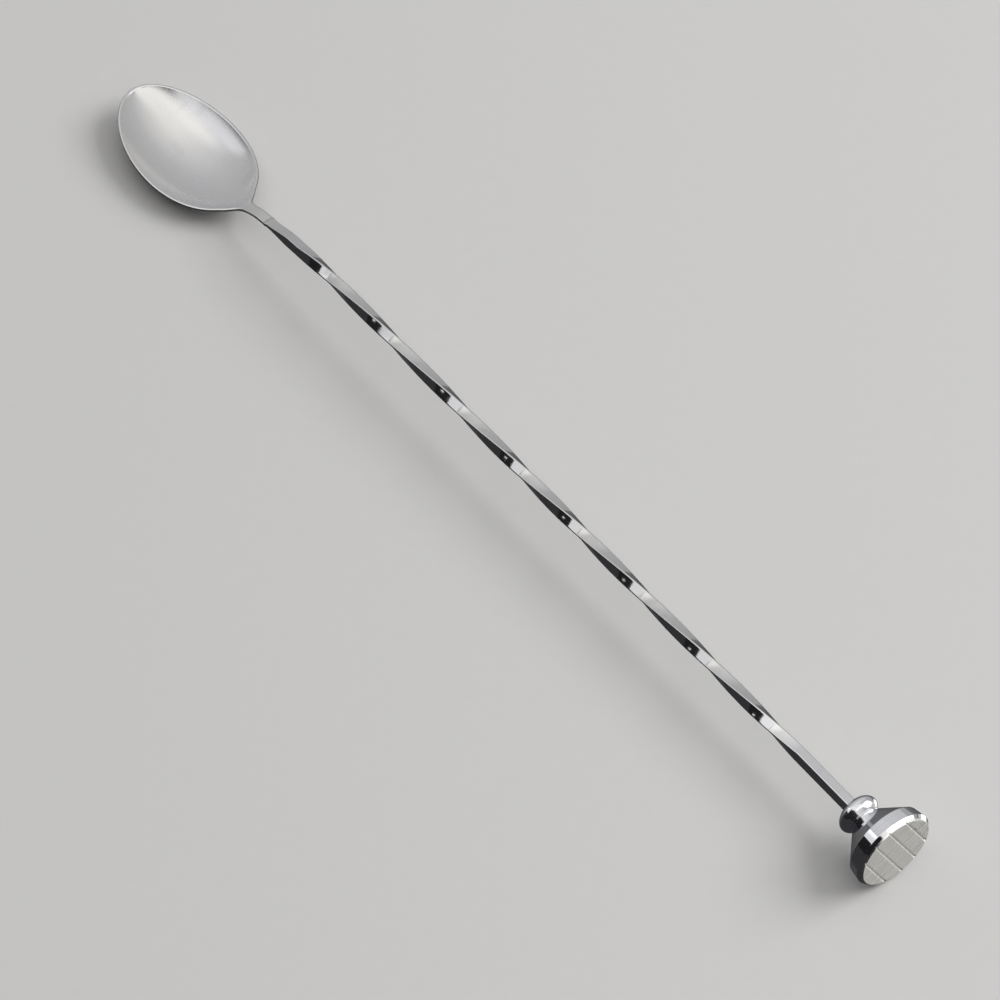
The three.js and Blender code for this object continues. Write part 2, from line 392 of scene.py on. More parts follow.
def cutGrooves(head, w=waffleShape):
    wedge = [(0, 1, 2), (5, 4, 3), (0, 3, 4, 1), (1, 4, 5, 2), (2, 5, 3, 0)]
    for turn, width, depth in w["sets"]:
        mesh = bpy.data.meshes.new("grooveCutter")
        faces = [[corner + 6 * i for corner in face] for i in range(w["count"]) for face in wedge]
        mesh.from_pydata(placeOnTable(groovePoints(w, turn, width, depth)).tolist(), [], faces)
        shell = bmesh.new()
        shell.from_mesh(mesh)
        bmesh.ops.recalc_face_normals(shell, faces=shell.faces)
        shell.to_mesh(mesh)
        shell.free()
        cutter = addObject("grooveCutter", mesh)
        cut = head.modifiers.new("grooves", "BOOLEAN")
        cut.operation, cut.solver, cut.object = "DIFFERENCE", "EXACT", cutter
        bpy.context.view_layer.update()
        evaluated = head.evaluated_get(bpy.context.evaluated_depsgraph_get())
        cutMesh = bpy.data.meshes.new_from_object(evaluated)
        head.modifiers.clear()
        head.data = cutMesh
        bpy.data.objects.remove(cutter)
    head.data.name = "muddlerHead"
    head.data.set_sharp_from_angle(angle=math.radians(w["sharpAngle"]))


cutGrooves(muddlerHead)
print("grooves cut")


def emptyMaterial(name):
    material = bpy.data.materials.new(name)
    material.use_nodes = True
    material.node_tree.nodes.clear()
    return material, material.node_tree.nodes, material.node_tree.links


def frameEffects(nodes, left, effects):
    # one titled frame for each effect, one below the other, with its nodes side by side
    for row, (title, members) in enumerate(effects.items()):
        group = nodes.new("NodeFrame")
        group.label = title
        for column, node in enumerate(members):
            node.parent = group
            node.location = (column * 240 + left, 500 - row * 360)


def brushedSteel(name, look):
    # satin or drawn steel: fine lines one way, broad cloudy tone, finger smudges, short
    # scratches; lines run along x of the spoon's metres, or of the piece's own map
    material, nodes, links = emptyMaterial(name)
    output = nodes.new("ShaderNodeOutputMaterial")
    output.label = "steel surface"
    shader = nodes.new("ShaderNodeBsdfPrincipled")
    shader.label = "bare stainless steel"
    shader.inputs["Metallic"].default_value = 1.0
    shader.inputs["Specular Tint"].default_value = (0.98, 0.985, 1.0, 1.0)

    body = nodes.new("ShaderNodeTexCoord")
    body.label = "metres on the spoon"
    metres = body.outputs["Object"]
    place = metres
    if look["uvMap"]:
        surface = nodes.new("ShaderNodeUVMap")
        surface.label = "along and round the stem"
        surface.uv_map = look["uvMap"]
        surface.location = (-1200, 400)
        place = surface.outputs["UV"]

    stretch = nodes.new("ShaderNodeMapping")
    stretch.label = "pull lines out lengthwise"
    stretch.inputs["Scale"].default_value = look["lineScale"]
    lineNoise = nodes.new("ShaderNodeTexNoise")
    lineNoise.label = "brush lines"
    lineNoise.inputs["Scale"].default_value = 1.0
    lineNoise.inputs["Detail"].default_value = 5.0
    lineNoise.inputs["Roughness"].default_value = 0.62
    lineRough = nodes.new("ShaderNodeMapRange")
    lineRough.label = "roughness of the lines"
    lineRough.inputs["From Min"].default_value = 0.3
    lineRough.inputs["From Max"].default_value = 0.7
    lineRough.inputs["To Min"].default_value = look["roughness"][0]
    lineRough.inputs["To Max"].default_value = look["roughness"][1]
    lineBump = nodes.new("ShaderNodeBump")
    lineBump.label = "depth of the lines"
    lineBump.inputs["Strength"].default_value = look["lineBump"]
    lineBump.inputs["Distance"].default_value = 0.00002

    cloudNoise = nodes.new("ShaderNodeTexNoise")
    cloudNoise.label = "broad tone"
    cloudNoise.inputs["Scale"].default_value = look["cloudScale"]
    cloudNoise.inputs["Detail"].default_value = 3.0
    cloudTone = nodes.new("ShaderNodeValToRGB")
    cloudTone.label = "cool to warm steel"
    cool, warm = cloudTone.color_ramp.elements
    cool.position, cool.color = 0.32, (*look["cool"], 1)
    warm.position, warm.color = 0.68, (*look["warm"], 1)

    smudgeNoise = nodes.new("ShaderNodeTexNoise")
    smudgeNoise.label = "finger smudges"
    smudgeNoise.inputs["Scale"].default_value = look["smudgeScale"]
    smudgeNoise.inputs["Detail"].default_value = 6.0
    smudgeNoise.inputs["Distortion"].default_value = 0.6
    smudgeMask = nodes.new("ShaderNodeMapRange")
    smudgeMask.label = "only the greasiest spots"
    smudgeMask.interpolation_type = "SMOOTHSTEP"
    smudgeMask.inputs["From Min"].default_value = 0.56
    smudgeMask.inputs["From Max"].default_value = 0.74
    smudgeMask.inputs["To Max"].default_value = look["smudge"]
    smudgeTone = nodes.new("ShaderNodeMix")
    smudgeTone.label = "smudges dull the colour"
    smudgeTone.data_type = "RGBA"
    smudgeTone.inputs["B"].default_value = (*look["smudgeColour"], 1)
    smudgeRough = nodes.new("ShaderNodeMath")
    smudgeRough.label = "smudges are rougher"
    smudgeRough.operation = "MULTIPLY_ADD"
    smudgeRough.inputs[1].default_value = 0.16

    scratchTurn = nodes.new("ShaderNodeMapping")
    scratchTurn.label = "scratches cross the lines"
    scratchTurn.inputs["Rotation"].default_value = (0.2, 0.1, look["scratchTurn"])
    scratchTurn.inputs["Scale"].default_value = look["scratchScale"]
    scratchNoise = nodes.new("ShaderNodeTexNoise")
    scratchNoise.label = "hair scratches"
    scratchNoise.inputs["Scale"].default_value = 1.0
    scratchMask = nodes.new("ShaderNodeMapRange")
    scratchMask.label = "keep a few"
    scratchMask.inputs["From Min"].default_value = 0.70
    scratchMask.inputs["From Max"].default_value = 0.76
    scratchBump = nodes.new("ShaderNodeBump")
    scratchBump.label = "scratch depth"
    scratchBump.invert = True
    scratchBump.inputs["Strength"].default_value = look["scratch"]
    scratchBump.inputs["Distance"].default_value = 0.00003

    links.new(place, stretch.inputs["Vector"])
    links.new(stretch.outputs["Vector"], lineNoise.inputs["Vector"])
    links.new(lineNoise.outputs["Fac"], lineRough.inputs["Value"])
    links.new(lineNoise.outputs["Fac"], lineBump.inputs["Height"])
    links.new(metres, cloudNoise.inputs["Vector"])
    links.new(cloudNoise.outputs["Fac"], cloudTone.inputs["Fac"])
    links.new(metres, smudgeNoise.inputs["Vector"])
    links.new(smudgeNoise.outputs["Fac"], smudgeMask.inputs["Value"])
    links.new(smudgeMask.outputs["Result"], smudgeTone.inputs["Factor"])
    links.new(cloudTone.outputs["Color"], smudgeTone.inputs["A"])
    links.new(smudgeMask.outputs["Result"], smudgeRough.inputs[0])
    links.new(lineRough.outputs["Result"], smudgeRough.inputs[2])
    links.new(place, scratchTurn.inputs["Vector"])
    links.new(scratchTurn.outputs["Vector"], scratchNoise.inputs["Vector"])
    links.new(scratchNoise.outputs["Fac"], scratchMask.inputs["Value"])
    links.new(scratchMask.outputs["Result"], scratchBump.inputs["Height"])
    links.new(lineBump.outputs["Normal"], scratchBump.inputs["Normal"])
    links.new(smudgeTone.outputs["Result"], shader.inputs["Base Color"])
    links.new(smudgeRough.outputs["Value"], shader.inputs["Roughness"])
    links.new(scratchBump.outputs["Normal"], shader.inputs["Normal"])
    links.new(shader.outputs["BSDF"], output.inputs["Surface"])

    frameEffects(nodes, -900, {
        "brush lines": (stretch, lineNoise, lineRough, lineBump),
        "steel tone": (cloudNoise, cloudTone),
        "finger smudges": (smudgeNoise, smudgeMask, smudgeTone, smudgeRough),
        "scratches": (scratchTurn, scratchNoise, scratchMask, scratchBump),
    })
    body.location, shader.location, output.location = (-1200, -100), (300, 200), (620, 200)
    return material


bowlFinish = {
    "uvMap": "", "lineScale": (70.0, 2600.0, 700.0), "roughness": (0.23, 0.28), "lineBump": 0.012,
    "cloudScale": 26.0, "cool": (0.86, 0.86, 0.885), "warm": (0.92, 0.91, 0.885),
    "smudgeScale": 55.0, "smudge": 0.45, "smudgeColour": (0.66, 0.66, 0.68),
    "scratchTurn": 0.5, "scratchScale": (160.0, 4200.0, 1600.0), "scratch": 0.008,
}
barFinish = {
    "uvMap": "alongStem", "lineScale": (260.0, 5200.0, 1.0), "roughness": (0.07, 0.13), "lineBump": 0.10,
    "cloudScale": 60.0, "cool": (0.77, 0.77, 0.775), "warm": (0.82, 0.815, 0.80),
    "smudgeScale": 130.0, "smudge": 0.4, "smudgeColour": (0.56, 0.56, 0.57),
    "scratchTurn": 0.35, "scratchScale": (420.0, 6800.0, 1.0), "scratch": 0.10,
}


def chromePlate(name, look):
    # plated steel: clear mirror with lathe rings round the stem, a faint orange peel and
    # dried water specks
    material, nodes, links = emptyMaterial(name)
    output = nodes.new("ShaderNodeOutputMaterial")
    output.label = "plated surface"
    shader = nodes.new("ShaderNodeBsdfPrincipled")
    shader.label = "chrome plate"
    shader.inputs["Metallic"].default_value = 1.0
    body = nodes.new("ShaderNodeTexCoord")
    body.label = "metres on the spoon"
    metres = body.outputs["Object"]

    ringMap = nodes.new("ShaderNodeMapping")
    ringMap.label = "rings square to the stem"
    ringMap.inputs["Scale"].default_value = (look["rings"], 12.0, 12.0)
    ringNoise = nodes.new("ShaderNodeTexNoise")
    ringNoise.label = "lathe rings"
    ringNoise.inputs["Scale"].default_value = 1.0
    ringNoise.inputs["Detail"].default_value = 3.0
    ringBump = nodes.new("ShaderNodeBump")
    ringBump.label = "ring depth"
    ringBump.inputs["Strength"].default_value = look["ringBump"]
    ringBump.inputs["Distance"].default_value = 0.00003

    peelNoise = nodes.new("ShaderNodeTexNoise")
    peelNoise.label = "orange peel"
    peelNoise.inputs["Scale"].default_value = 420.0
    peelBump = nodes.new("ShaderNodeBump")
    peelBump.label = "peel depth"
    peelBump.inputs["Strength"].default_value = look["peel"]
    peelBump.inputs["Distance"].default_value = 0.00006

    speckCells = nodes.new("ShaderNodeTexVoronoi")
    speckCells.label = "water specks"
    speckCells.inputs["Scale"].default_value = 900.0
    speckMask = nodes.new("ShaderNodeMapRange")
    speckMask.label = "small round marks"
    speckMask.inputs["From Min"].default_value = 0.16
    speckMask.inputs["From Max"].default_value = 0.10
    speckMask.inputs["To Min"].default_value = look["roughness"]
    speckMask.inputs["To Max"].default_value = look["speckRoughness"]

    filmNoise = nodes.new("ShaderNodeTexNoise")
    filmNoise.label = "handling film"
    filmNoise.inputs["Scale"].default_value = 180.0
    filmNoise.inputs["Detail"].default_value = 4.0
    filmTone = nodes.new("ShaderNodeValToRGB")
    filmTone.label = "blue-white to dull"
    bright, dull = filmTone.color_ramp.elements
    bright.position, bright.color = 0.35, (*look["bright"], 1)
    dull.position, dull.color = 0.75, (*look["dull"], 1)

    links.new(metres, ringMap.inputs["Vector"])
    links.new(ringMap.outputs["Vector"], ringNoise.inputs["Vector"])
    links.new(ringNoise.outputs["Fac"], ringBump.inputs["Height"])
    links.new(metres, peelNoise.inputs["Vector"])
    links.new(peelNoise.outputs["Fac"], peelBump.inputs["Height"])
    links.new(ringBump.outputs["Normal"], peelBump.inputs["Normal"])
    links.new(metres, speckCells.inputs["Vector"])
    links.new(speckCells.outputs["Distance"], speckMask.inputs["Value"])
    links.new(metres, filmNoise.inputs["Vector"])
    links.new(filmNoise.outputs["Fac"], filmTone.inputs["Fac"])
    links.new(filmTone.outputs["Color"], shader.inputs["Base Color"])
    links.new(speckMask.outputs["Result"], shader.inputs["Roughness"])
    links.new(peelBump.outputs["Normal"], shader.inputs["Normal"])
    links.new(shader.outputs["BSDF"], output.inputs["Surface"])

    frameEffects(nodes, -700, {
        "lathe rings": (ringMap, ringNoise, ringBump),
        "orange peel": (peelNoise, peelBump),
        "water specks": (speckCells, speckMask),
        "handling film": (filmNoise, filmTone),
    })
    body.location, shader.location, output.location = (-1000, 100), (300, 200), (620, 200)
    return material


beadFinish = {
    "rings": 2600.0, "ringBump": 0.03, "peel": 0.02, "roughness": 0.13, "speckRoughness": 0.19,
    "bright": (0.86, 0.87, 0.90), "dull": (0.80, 0.80, 0.82),
}
collarFinish = {
    "rings": 3400.0, "ringBump": 0.08, "peel": 0.03, "roughness": 0.05, "speckRoughness": 0.14,
    "bright": (0.84, 0.85, 0.88), "dull": (0.76, 0.76, 0.78),
}


def groundWeld(name, look):
    # dressed weld: coarse grinding marks across the stem, pits, and a straw and blue heat tint
    material, nodes, links = emptyMaterial(name)
    output = nodes.new("ShaderNodeOutputMaterial")
    output.label = "weld surface"
    shader = nodes.new("ShaderNodeBsdfPrincipled")
    shader.label = "ground weld metal"
    shader.inputs["Metallic"].default_value = 1.0
    body = nodes.new("ShaderNodeTexCoord")
    body.label = "metres on the spoon"
    metres = body.outputs["Object"]

    grindMap = nodes.new("ShaderNodeMapping")
    grindMap.label = "marks across the stem"
    grindMap.inputs["Scale"].default_value = look["grindScale"]
    grindNoise = nodes.new("ShaderNodeTexNoise")
    grindNoise.label = "grinding marks"
    grindNoise.inputs["Scale"].default_value = 1.0
    grindNoise.inputs["Detail"].default_value = 4.0
    grindRough = nodes.new("ShaderNodeMapRange")
    grindRough.label = "satin where ground"
    grindRough.inputs["From Min"].default_value = 0.3
    grindRough.inputs["From Max"].default_value = 0.7
    grindRough.inputs["To Min"].default_value = look["roughness"][0]
    grindRough.inputs["To Max"].default_value = look["roughness"][1]
    grindBump = nodes.new("ShaderNodeBump")
    grindBump.label = "mark depth"
    grindBump.inputs["Strength"].default_value = look["grindBump"]
    grindBump.inputs["Distance"].default_value = 0.00005

    pitCells = nodes.new("ShaderNodeTexVoronoi")
    pitCells.label = "weld pits"
    pitCells.inputs["Scale"].default_value = look["pitScale"]
    pitMask = nodes.new("ShaderNodeMapRange")
    pitMask.label = "pit edge"
    pitMask.inputs["From Min"].default_value = 0.05
    pitMask.inputs["From Max"].default_value = 0.22
    pitBump = nodes.new("ShaderNodeBump")
    pitBump.label = "pit depth"
    pitBump.inputs["Strength"].default_value = 0.25
    pitBump.inputs["Distance"].default_value = 0.00006

    heatNoise = nodes.new("ShaderNodeTexNoise")
    heatNoise.label = "heat spread"
    heatNoise.inputs["Scale"].default_value = look["heatScale"]
    heatNoise.inputs["Detail"].default_value = 3.0
    heatTint = nodes.new("ShaderNodeValToRGB")
    heatTint.label = "bare, straw, faint blue"
    bare, blue = heatTint.color_ramp.elements
    bare.position, bare.color = 0.35, (*look["bare"], 1)
    blue.position, blue.color = 0.70, (*look["blue"], 1)
    straw = heatTint.color_ramp.elements.new(0.55)
    straw.color = (*look["straw"], 1)

    links.new(metres, grindMap.inputs["Vector"])
    links.new(grindMap.outputs["Vector"], grindNoise.inputs["Vector"])
    links.new(grindNoise.outputs["Fac"], grindRough.inputs["Value"])
    links.new(grindNoise.outputs["Fac"], grindBump.inputs["Height"])
    links.new(metres, pitCells.inputs["Vector"])
    links.new(pitCells.outputs["Distance"], pitMask.inputs["Value"])
    links.new(pitMask.outputs["Result"], pitBump.inputs["Height"])
    links.new(grindBump.outputs["Normal"], pitBump.inputs["Normal"])
    links.new(metres, heatNoise.inputs["Vector"])
    links.new(heatNoise.outputs["Fac"], heatTint.inputs["Fac"])
    links.new(heatTint.outputs["Color"], shader.inputs["Base Color"])
    links.new(grindRough.outputs["Result"], shader.inputs["Roughness"])
    links.new(pitBump.outputs["Normal"], shader.inputs["Normal"])
    links.new(shader.outputs["BSDF"], output.inputs["Surface"])

    frameEffects(nodes, -900, {
        "grinding marks": (grindMap, grindNoise, grindRough, grindBump),
        "weld pits": (pitCells, pitMask, pitBump),
        "heat tint": (heatNoise, heatTint),
    })
    body.location, shader.location, output.location = (-1200, 100), (300, 200), (620, 200)
    return material


weldFinish = {
    "grindScale": (5200.0, 500.0, 900.0), "roughness": (0.26, 0.40), "grindBump": 0.3,
    "pitScale": 1500.0, "heatScale": 500.0,
    "bare": (0.72, 0.715, 0.70), "straw": (0.70, 0.67, 0.62), "blue": (0.62, 0.63, 0.65),
}


def muddlerSteel(name, look):
    # polished cone and rim, brushed waffle face: the face is where the stem coordinate passes
    # the chamfer, its lines run with the fine grooves, and knocks gather in patches and all
    # over the outer pad
    material, nodes, links = emptyMaterial(name)
    output = nodes.new("ShaderNodeOutputMaterial")
    output.label = "head surface"
    shader = nodes.new("ShaderNodeBsdfPrincipled")
    shader.label = "plated head"
    shader.inputs["Metallic"].default_value = 1.0
    body = nodes.new("ShaderNodeTexCoord")
    body.label = "metres on the spoon"
    metres = body.outputs["Object"]

    alongStem = nodes.new("ShaderNodeVectorMath")
    alongStem.label = "distance along the stem"
    alongStem.operation = "DOT_PRODUCT"
    alongStem.inputs[1].default_value = stemAxis
    faceDepth = float(faceCentre @ stemAxis)
    faceMask = nodes.new("ShaderNodeMapRange")
    faceMask.label = "face, not rim"
    faceMask.inputs["From Min"].default_value = faceDepth - look["maskDepth"][0] * mm
    faceMask.inputs["From Max"].default_value = faceDepth - look["maskDepth"][1] * mm

    centre = nodes.new("ShaderNodeMapping")
    centre.label = "turned to the waffle"
    centre.vector_type = "TEXTURE"
    centre.inputs["Location"].default_value = faceCentre
    centre.inputs["Rotation"].default_value = (math.radians(look["lineTurn"]), 0, 0)
    stretch = nodes.new("ShaderNodeMapping")
    stretch.label = "pull lines out"
    stretch.inputs["Scale"].default_value = look["lineScale"]
    lineNoise = nodes.new("ShaderNodeTexNoise")
    lineNoise.label = "face brush lines"
    lineNoise.inputs["Scale"].default_value = 1.0
    lineNoise.inputs["Detail"].default_value = 4.0
    lineNoise.inputs["Roughness"].default_value = 0.6
    lineHeight = nodes.new("ShaderNodeMath")
    lineHeight.label = "lines on the face only"
    lineHeight.operation = "MULTIPLY"
    lineBump = nodes.new("ShaderNodeBump")
    lineBump.label = "line depth"
    lineBump.inputs["Strength"].default_value = look["lineBump"]
    lineBump.inputs["Distance"].default_value = 0.00005
    lineTone = nodes.new("ShaderNodeValToRGB")
    lineTone.label = "dark and light lines"
    lineDark, lineLight = lineTone.color_ramp.elements
    lineDark.position, lineDark.color = 0.36, (*look["lineDark"], 1)
    lineLight.position, lineLight.color = 0.62, (*look["lineLight"], 1)

    knockCells = nodes.new("ShaderNodeTexVoronoi")
    knockCells.label = "knock marks"
    knockCells.inputs["Scale"].default_value = look["knockScale"]
    knockShape = nodes.new("ShaderNodeMapRange")
    knockShape.label = "round dents"
    knockShape.inputs["From Min"].default_value = 0.12
    knockShape.inputs["From Max"].default_value = 0.42
    knockSpread = nodes.new("ShaderNodeTexNoise")
    knockSpread.label = "where knocks gather"
    knockSpread.inputs["Scale"].default_value = 210.0
    knockPlaces = nodes.new("ShaderNodeMapRange")
    knockPlaces.label = "patches of knocks"
    knockPlaces.inputs["From Min"].default_value = 0.50
    knockPlaces.inputs["From Max"].default_value = 0.75
    knockPlaces.inputs["To Max"].default_value = 0.5
    padParts = nodes.new("ShaderNodeSeparateXYZ")
    padParts.label = "across the waffle"
    padMask = nodes.new("ShaderNodeMapRange")
    padMask.label = "outer pad"
    padMask.inputs["From Min"].default_value = look["knockedPad"][0] * mm
    padMask.inputs["From Max"].default_value = look["knockedPad"][1] * mm
    knockTotal = nodes.new("ShaderNodeMath")
    knockTotal.label = "patches and outer pad"
    knockTotal.operation = "MAXIMUM"
    knockDepth = nodes.new("ShaderNodeMath")
    knockDepth.label = "dents in the patches"
    knockDepth.operation = "MULTIPLY"
    knockBump = nodes.new("ShaderNodeBump")
    knockBump.label = "dent depth"
    knockBump.inputs["Distance"].default_value = 0.00008

    rimRing = nodes.new("ShaderNodeMapping")
    rimRing.label = "rings round the rim"
    rimRing.inputs["Scale"].default_value = (3600.0, 30.0, 30.0)
    rimNoise = nodes.new("ShaderNodeTexNoise")
    rimNoise.label = "turning marks"
    rimNoise.inputs["Scale"].default_value = 1.0
    rimRough = nodes.new("ShaderNodeMapRange")
    rimRough.label = "polish of the rim"
    faceRough = nodes.new("ShaderNodeMapRange")
    faceRough.label = "satin of the face"
    for spread, (least, most) in ((rimRough, look["rimRoughness"]), (faceRough, look["faceRoughness"])):
        spread.inputs["From Min"].default_value = 0.3
        spread.inputs["From Max"].default_value = 0.7
        spread.inputs["To Min"].default_value = least
        spread.inputs["To Max"].default_value = most
    roughness = nodes.new("ShaderNodeMix")
    roughness.label = "rim or face roughness"
    rimTone = nodes.new("ShaderNodeValToRGB")
    rimTone.label = "rim plate"
    rimBright, rimDull = rimTone.color_ramp.elements
    rimBright.position, rimBright.color = 0.3, (*look["rimBright"], 1)
    rimDull.position, rimDull.color = 0.8, (*look["rimDull"], 1)
    tone = nodes.new("ShaderNodeMix")
    tone.label = "rim or face colour"
    tone.data_type = "RGBA"

    links.new(metres, alongStem.inputs[0])
    links.new(alongStem.outputs["Value"], faceMask.inputs["Value"])
    links.new(metres, centre.inputs["Vector"])
    links.new(centre.outputs["Vector"], stretch.inputs["Vector"])
    links.new(stretch.outputs["Vector"], lineNoise.inputs["Vector"])
    links.new(lineNoise.outputs["Fac"], lineHeight.inputs[0])
    links.new(faceMask.outputs["Result"], lineHeight.inputs[1])
    links.new(lineHeight.outputs["Value"], lineBump.inputs["Height"])
    links.new(lineNoise.outputs["Fac"], lineTone.inputs["Fac"])
    links.new(metres, knockCells.inputs["Vector"])
    links.new(knockCells.outputs["Distance"], knockShape.inputs["Value"])
    links.new(metres, knockSpread.inputs["Vector"])
    links.new(knockSpread.outputs["Fac"], knockPlaces.inputs["Value"])
    links.new(centre.outputs["Vector"], padParts.inputs["Vector"])
    links.new(padParts.outputs["Y"], padMask.inputs["Value"])
    links.new(knockPlaces.outputs["Result"], knockTotal.inputs[0])
    links.new(padMask.outputs["Result"], knockTotal.inputs[1])
    links.new(knockTotal.outputs["Value"], knockDepth.inputs[0])
    links.new(faceMask.outputs["Result"], knockDepth.inputs[1])
    links.new(knockShape.outputs["Result"], knockBump.inputs["Height"])
    links.new(knockDepth.outputs["Value"], knockBump.inputs["Strength"])
    links.new(lineBump.outputs["Normal"], knockBump.inputs["Normal"])
    links.new(metres, rimRing.inputs["Vector"])
    links.new(rimRing.outputs["Vector"], rimNoise.inputs["Vector"])
    links.new(rimNoise.outputs["Fac"], rimRough.inputs["Value"])
    links.new(lineNoise.outputs["Fac"], faceRough.inputs["Value"])
    links.new(faceMask.outputs["Result"], roughness.inputs["Factor"])
    links.new(rimRough.outputs["Result"], roughness.inputs["A"])
    links.new(faceRough.outputs["Result"], roughness.inputs["B"])
    links.new(rimNoise.outputs["Fac"], rimTone.inputs["Fac"])
    links.new(faceMask.outputs["Result"], tone.inputs["Factor"])
    links.new(rimTone.outputs["Color"], tone.inputs["A"])
    links.new(lineTone.outputs["Color"], tone.inputs["B"])
    links.new(tone.outputs["Result"], shader.inputs["Base Color"])
    links.new(roughness.outputs["Result"], shader.inputs["Roughness"])
    links.new(knockBump.outputs["Normal"], shader.inputs["Normal"])
    links.new(shader.outputs["BSDF"], output.inputs["Surface"])

    frameEffects(nodes, -1400, {
        "face mask": (alongStem, faceMask),
        "brushed face": (centre, stretch, lineNoise, lineHeight, lineBump, lineTone),
        "knocks": (knockCells, knockShape, knockSpread, knockPlaces, padParts, padMask, knockTotal,
                   knockDepth, knockBump),
        "rim and face finish": (rimRing, rimNoise, rimRough, faceRough, roughness, rimTone, tone),
    })
    body.location, shader.location, output.location = (-1700, 100), (420, 200), (740, 200)
    return material


headFinish = {
    "maskDepth": (0.40, 0.36),   # the brushed face starts this far behind the face plane, mm
    "lineTurn": 26.7, "lineScale": (900.0, 60.0, 2600.0), "lineBump": 0.35,
    "lineDark": (0.66, 0.655, 0.64), "lineLight": (0.90, 0.895, 0.87),
    "knockScale": 1900.0, "knockedPad": (6.7, 7.1),   # mm from the middle
    "rimRoughness": (0.03, 0.06), "faceRoughness": (0.24, 0.36),
    "rimBright": (0.86, 0.865, 0.885), "rimDull": (0.78, 0.78, 0.80),
}

for piece, finish in ((spoonBowl, brushedSteel("satinSteel", bowlFinish)),
                      (twistedBar, brushedSteel("drawnSteel", barFinish)),
                      (neckWeld, groundWeld("weldedSteel", weldFinish)),
                      (lockBead, chromePlate("beadChrome", beadFinish)),
                      (neckCollar, chromePlate("collarChrome", collarFinish)),
                      (muddlerHead, muddlerSteel("muddlerSteel", headFinish))):
    piece.data.materials.clear()
    piece.data.materials.append(finish)
print("finishes set")


# soft studio light
studioPanels = {
    # direction of the panel from its centre point as azimuth from the stem's +x to +y and
    # elevation, in degrees; width, height and distance in metres; glow is its brightness.
    # A reflected panel shows only in the metal, the other one only lights
    "softKey": {"azimuth": 58, "elevation": 42, "size": (1.3, 1.1), "distance": 1.9, "centre": (0, 0, 0),
                "glow": 4.4, "colour": (1.0, 0.99, 0.975), "reflected": False},
    "whiteCard": {"azimuth": 28, "elevation": 18, "size": (0.66, 0.41), "distance": 0.36,
                  "centre": (0.150, 0, 0.011), "glow": 1.25, "colour": (1.0, 0.995, 0.985),
                  "reflected": True},
    "sidePanel": {"azimuth": -90, "elevation": 0, "size": (0.86, 0.425), "distance": 0.42,
                  "centre": (-0.36, 0, 0.4995), "glow": 0.80, "colour": (0.97, 0.975, 1.0),
                  "reflected": True},
    "bounceCard": {"azimuth": 60, "elevation": -40, "size": (0.42, 0.42), "distance": 0.36,
                   "centre": (0.152, 0, 0.011), "glow": 0.46, "colour": (1.0, 0.985, 0.94),
                   "reflected": True},
    "grooveCard": {"azimuth": 90, "elevation": -30, "size": (0.16, 0.14), "distance": 0.36,
                   "centre": (0.152, 0, 0.011), "glow": 1.3, "colour": (1.0, 0.99, 0.97), "reflected": True},
    "rimCard": {"azimuth": 166, "elevation": 41, "size": (0.095, 0.044), "distance": 0.055,
                "centre": (0.150, 0, 0.011), "glow": 0.17, "colour": (0.96, 0.97, 1.0), "reflected": True},
    "roomLamp": {"azimuth": -118, "elevation": 13, "size": (0.05, 0.17), "distance": 1.9, "centre": (0, 0, 0),
                 "glow": 1.3, "colour": (1.0, 1.0, 1.0), "reflected": True},
}


def makePanel(name, look):
    # rectangular softbox facing its centre point; its power is glow x area x pi
    width, height = look["size"]
    turn, rise = math.radians(look["azimuth"]), math.radians(look["elevation"])
    direction = Vector((math.cos(turn) * math.cos(rise), math.sin(turn) * math.cos(rise), math.sin(rise)))
    data = bpy.data.lights.new(name, "AREA")
    data.shape, data.size, data.size_y = "RECTANGLE", width, height
    data.energy = look["glow"] * width * height * math.pi
    data.color = look["colour"]
    panel = addObject(name, data)
    panel.location = Vector(look["centre"]) + direction * look["distance"]
    panel.rotation_mode = "QUATERNION"
    panel.rotation_quaternion = direction.to_track_quat("Z", "Y")
    panel.visible_camera = False
    panel.visible_glossy = look["reflected"]
    panel.visible_diffuse = not look["reflected"]


for panelName, panelLook in studioPanels.items():
    makePanel(panelName, panelLook)


roomShape = {
    # brightness of the room by height, as (z of the direction, colour): in front of the
    # spoon, where the camera stands in the dark, and behind it, where a pale wall runs round
    "front": [(-1.0, (0.036, 0.036, 0.039)), (-0.02, (0.036, 0.036, 0.039)), (0.0, (0.013, 0.013, 0.014)),
              (0.835, (0.016, 0.016, 0.017)), (0.87, (0.92, 0.91, 0.89)), (0.95, (1.0, 0.985, 0.95)),
              (1.0, (0.84, 0.83, 0.81))],
    "back": [(-1.0, (0.045, 0.045, 0.048)), (-0.5, (0.11, 0.11, 0.112)), (-0.13, (0.17, 0.17, 0.17)),
             (-0.09, (0.38, 0.38, 0.38)), (0.26, (0.41, 0.41, 0.415)), (0.7, (0.47, 0.47, 0.48)),
             (0.93, (0.66, 0.655, 0.65)), (1.0, (0.84, 0.83, 0.81))],
    "frontStretch": (0.35, 1.0, 1.0),   # the dark front is a long shape beside the stem
    "wallAzimuth": 125, "wallEdge": (-0.10, 0.14),
}


